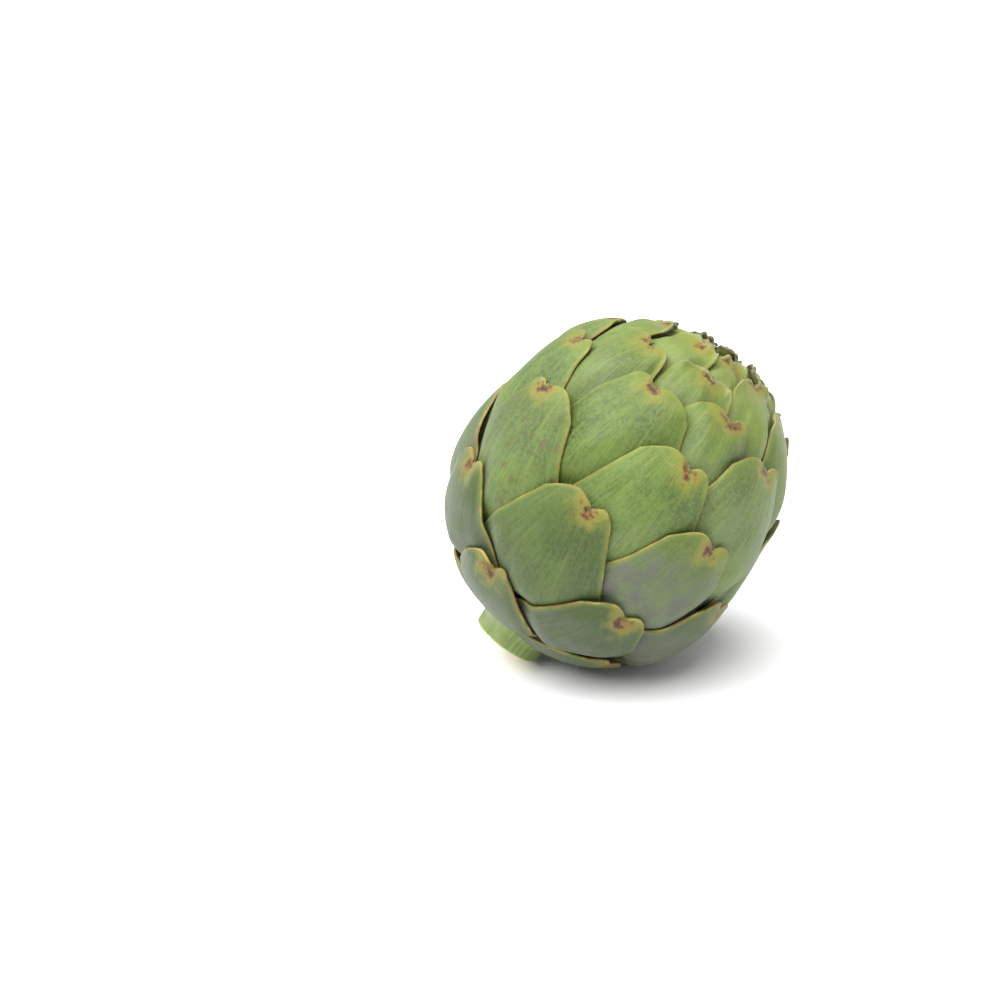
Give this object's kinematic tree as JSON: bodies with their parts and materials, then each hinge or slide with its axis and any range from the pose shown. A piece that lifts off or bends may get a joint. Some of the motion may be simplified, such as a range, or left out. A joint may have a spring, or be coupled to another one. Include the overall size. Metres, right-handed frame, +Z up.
{
  "type": "artichoke",
  "caption": "Whole globe artichoke with overlapping notched bracts closed into a round head, lying on its belly and leaning back towards a short cut stem.",
  "frame": {"origin": "on the surface it rests on, below the middle of the bounding box", "axes": "+Z up; the crown leans towards +X and a little towards +Y, the cut stem points down towards -X, and -Y is the front"},
  "size_m": [0.1036, 0.0966, 0.1038],
  "materials": {
    "low_bract": "waxy green leaf tissue with a grey bloom and purple mottling",
    "bract": "waxy yellow-green leaf tissue with fine lengthwise fibres and pale dry margins",
    "crown_bract": "waxy light green leaf tissue with dried brown tips",
    "heart": "pale green fibrous flesh, cut across at the stem's end",
    "choke": "dense cream-white silky hairs",
    "purple_bud": "thin satin purple leaf tissue",
    "pale_bud": "thin satin pale yellow leaf tissue"
  },
  "bodies": {
    "root": {"heart_and_stem": "heart", "choke": "choke", "inner_bud_purple": "purple_bud", "inner_bud_pale": "pale_bud", "bract_01": "low_bract", "bract_02": "low_bract", "bract_03": "low_bract", "bract_04": "low_bract", "bract_05": "low_bract", "bract_06": "low_bract", "bract_07": "low_bract", "bract_08": "low_bract", "bract_09": "low_bract", "bract_10": "bract", "bract_11": "bract", "bract_12": "bract", "bract_13": "bract", "bract_14": "bract", "bract_15": "bract", "bract_16": "bract", "bract_17": "bract", "bract_18": "bract", "bract_19": "bract", "bract_20": "bract", "bract_21": "bract", "bract_22": "bract", "bract_23": "bract", "bract_24": "bract", "bract_25": "bract", "bract_26": "bract", "bract_27": "bract", "bract_28": "bract", "bract_29": "bract", "bract_30": "bract", "bract_31": "bract", "bract_32": "bract", "bract_33": "bract", "bract_34": "crown_bract", "bract_35": "crown_bract", "bract_36": "crown_bract", "bract_37": "crown_bract", "bract_38": "crown_bract", "bract_39": "crown_bract", "bract_40": "crown_bract", "bract_41": "crown_bract", "bract_42": "crown_bract", "bract_43": "crown_bract", "bract_44": "crown_bract", "bract_45": "crown_bract"}
  },
  "joints": []
}
